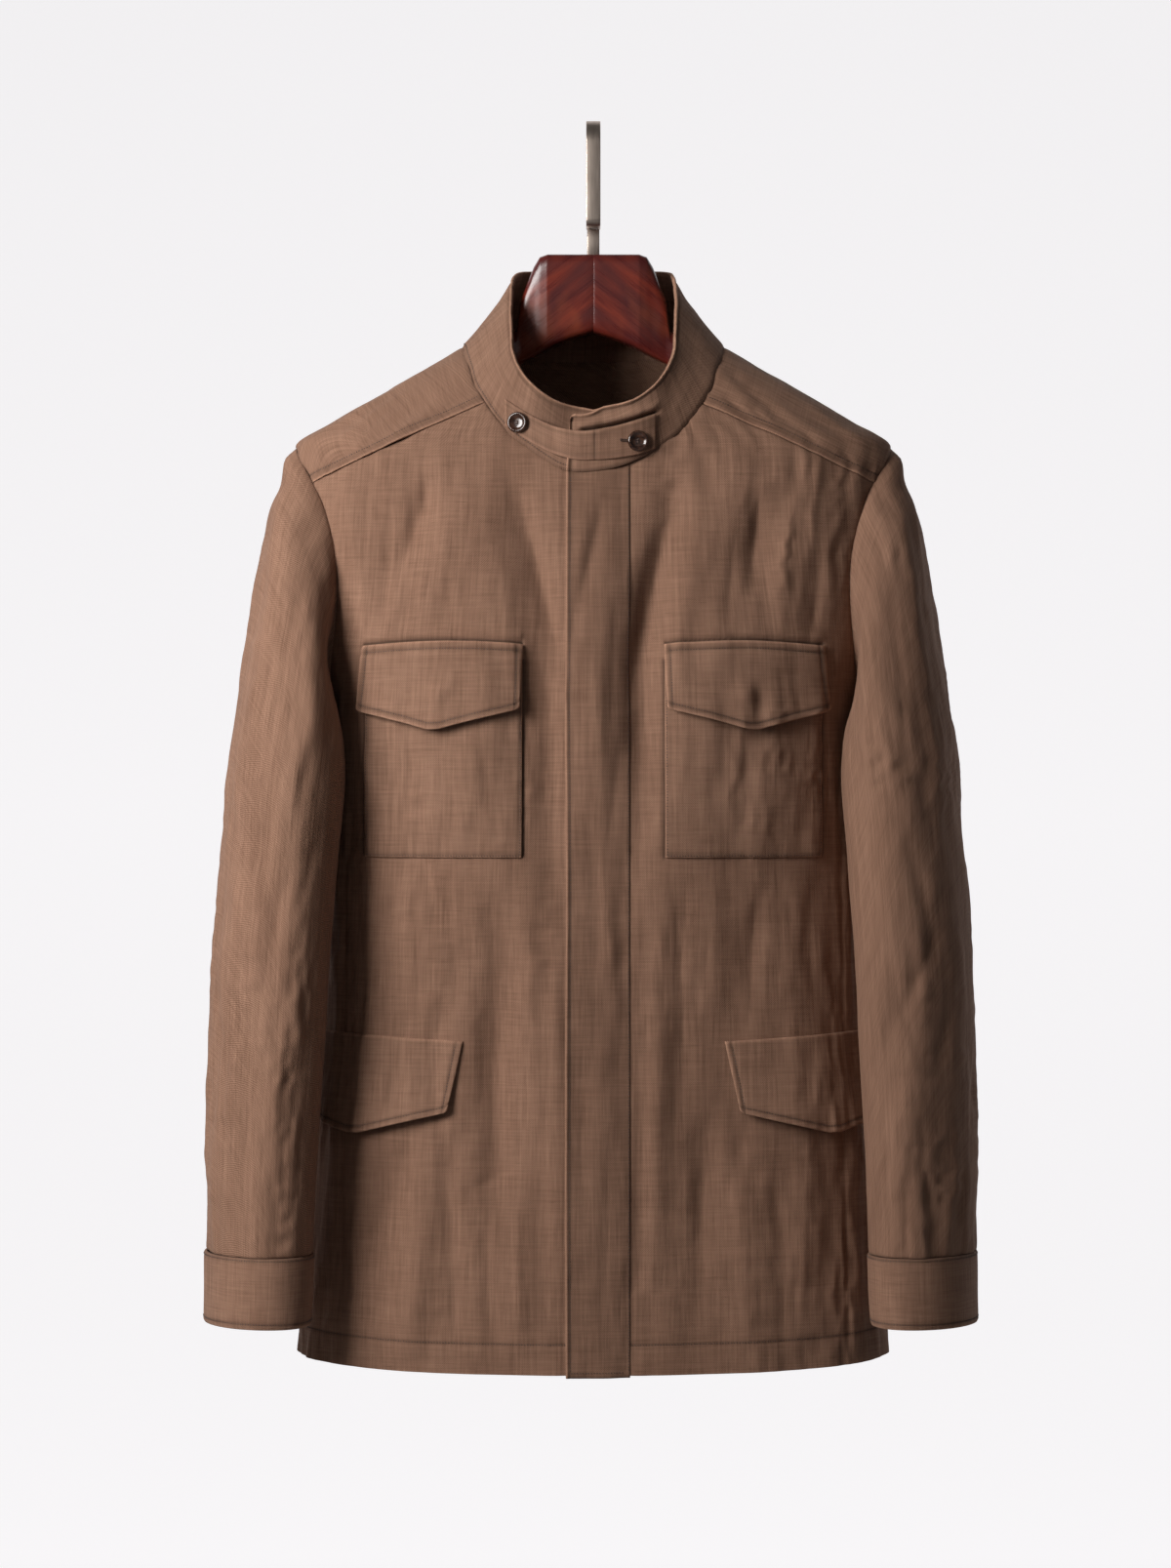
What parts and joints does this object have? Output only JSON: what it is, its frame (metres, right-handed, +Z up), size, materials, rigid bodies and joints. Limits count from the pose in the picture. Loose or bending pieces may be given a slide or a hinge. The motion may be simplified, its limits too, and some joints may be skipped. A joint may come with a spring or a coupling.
{
  "type": "field jacket on a hanger",
  "caption": "Stand-collar field jacket in brown slub twill, with a covered front, a buttoned collar tab and flap pockets, hanging open-necked on a shaped wooden hanger.",
  "frame": {"origin": "inner top of the hanger hook's bend, where a rail carries it", "axes": "+Z up, -Y the jacket's front, +X the wearer's left"},
  "size_m": [0.5734, 0.2267, 0.9376],
  "materials": {
    "brown_twill": "matt slub twill of linen and cotton",
    "brown_twill_trim": "the same cloth on collar, tab, pockets, flaps and cuffs",
    "dark_horn": "polished dark horn",
    "red_brown_wood": "satin lacquer",
    "satin_bronze": "satin bronze"
  },
  "bodies": {
    "root": {"back": "brown_twill", "front_left": "brown_twill", "front_right": "brown_twill", "front_placket": "brown_twill", "yoke": "brown_twill", "sleeve_left": "brown_twill", "sleeve_right": "brown_twill", "collar": "brown_twill_trim", "collar_tab": "brown_twill_trim", "chest_pocket_left": "brown_twill_trim", "chest_pocket_right": "brown_twill_trim", "chest_flap_left": "brown_twill_trim", "chest_flap_right": "brown_twill_trim", "lower_flap_left": "brown_twill_trim", "lower_flap_right": "brown_twill_trim", "cuff_left": "brown_twill_trim", "cuff_right": "brown_twill_trim", "tab_button_left": "dark_horn", "tab_button_right": "dark_horn", "hanger_body": "red_brown_wood", "hanger_stem": "satin_bronze", "hanger_hook": "satin_bronze"}
  },
  "joints": []
}
